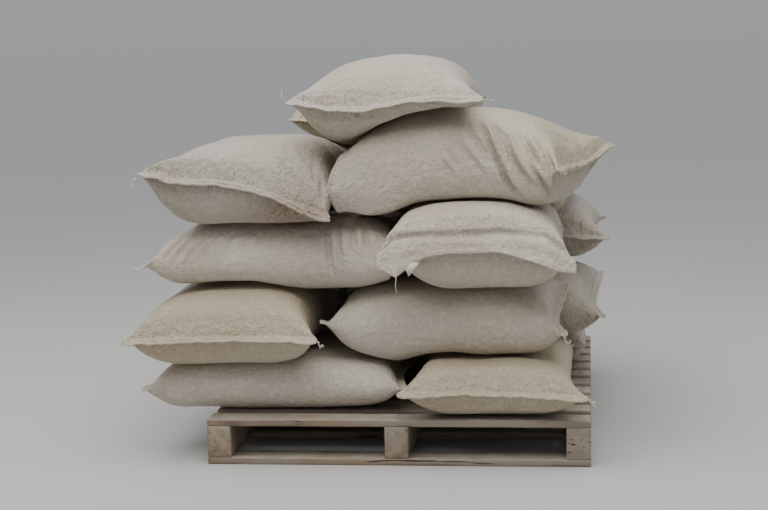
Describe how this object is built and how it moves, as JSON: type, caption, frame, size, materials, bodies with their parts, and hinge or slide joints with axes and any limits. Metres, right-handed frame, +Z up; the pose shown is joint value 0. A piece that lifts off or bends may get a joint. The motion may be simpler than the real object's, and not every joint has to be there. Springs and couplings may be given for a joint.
{
  "type": "pallet of sacks",
  "caption": "Flat wooden pallet stacked with filled woven sacks laid in interlocked layers, with loose sacks lying on top.",
  "frame": {"origin": "middle of the pallet's underside, on its middle base board", "axes": "+Z up, +X to the right across the front of the load, +Y from the front of the load to the back, along the stringers"},
  "size_m": [1.5508, 1.84, 1.2729],
  "materials": {
    "woven_sack": "matt woven polypropylene, dusty",
    "yellowed_sack": "matt woven polypropylene, yellowed and dusty",
    "pallet_wood": "rough sawn, weathered and dusty"
  },
  "bodies": {
    "root": {"base_board_1": "pallet_wood", "base_board_2": "pallet_wood", "base_board_3": "pallet_wood", "base_board_4": "pallet_wood", "base_board_5": "pallet_wood", "stringer_left": "pallet_wood", "stringer_middle": "pallet_wood", "stringer_right": "pallet_wood", "deck_board_1": "pallet_wood", "deck_board_2": "pallet_wood", "deck_board_3": "pallet_wood", "deck_board_4": "pallet_wood", "deck_board_5": "pallet_wood", "deck_board_6": "pallet_wood", "deck_board_7": "pallet_wood", "deck_board_8": "pallet_wood", "deck_board_9": "pallet_wood", "deck_board_10": "pallet_wood", "deck_board_11": "pallet_wood", "sack_1_left_back": "woven_sack", "sack_1_left_middle": "woven_sack", "sack_1_left_front": "woven_sack", "sack_1_right_back": "woven_sack", "sack_1_right_front": "yellowed_sack", "sack_2_left_back": "woven_sack", "sack_2_left_front": "yellowed_sack", "sack_2_right_back": "woven_sack", "sack_2_right_middle": "woven_sack", "sack_2_right_front": "woven_sack", "sack_3_left_back": "woven_sack", "sack_3_left_middle": "woven_sack", "sack_3_left_front": "woven_sack", "sack_3_right_back": "woven_sack", "sack_3_right_front": "woven_sack", "sack_4_left_back": "woven_sack", "sack_4_left_front": "woven_sack", "sack_4_right_back": "woven_sack", "sack_4_right_middle": "yellowed_sack", "sack_4_right_front": "woven_sack", "sack_top_back": "yellowed_sack", "sack_top_front": "woven_sack"}
  },
  "joints": []
}
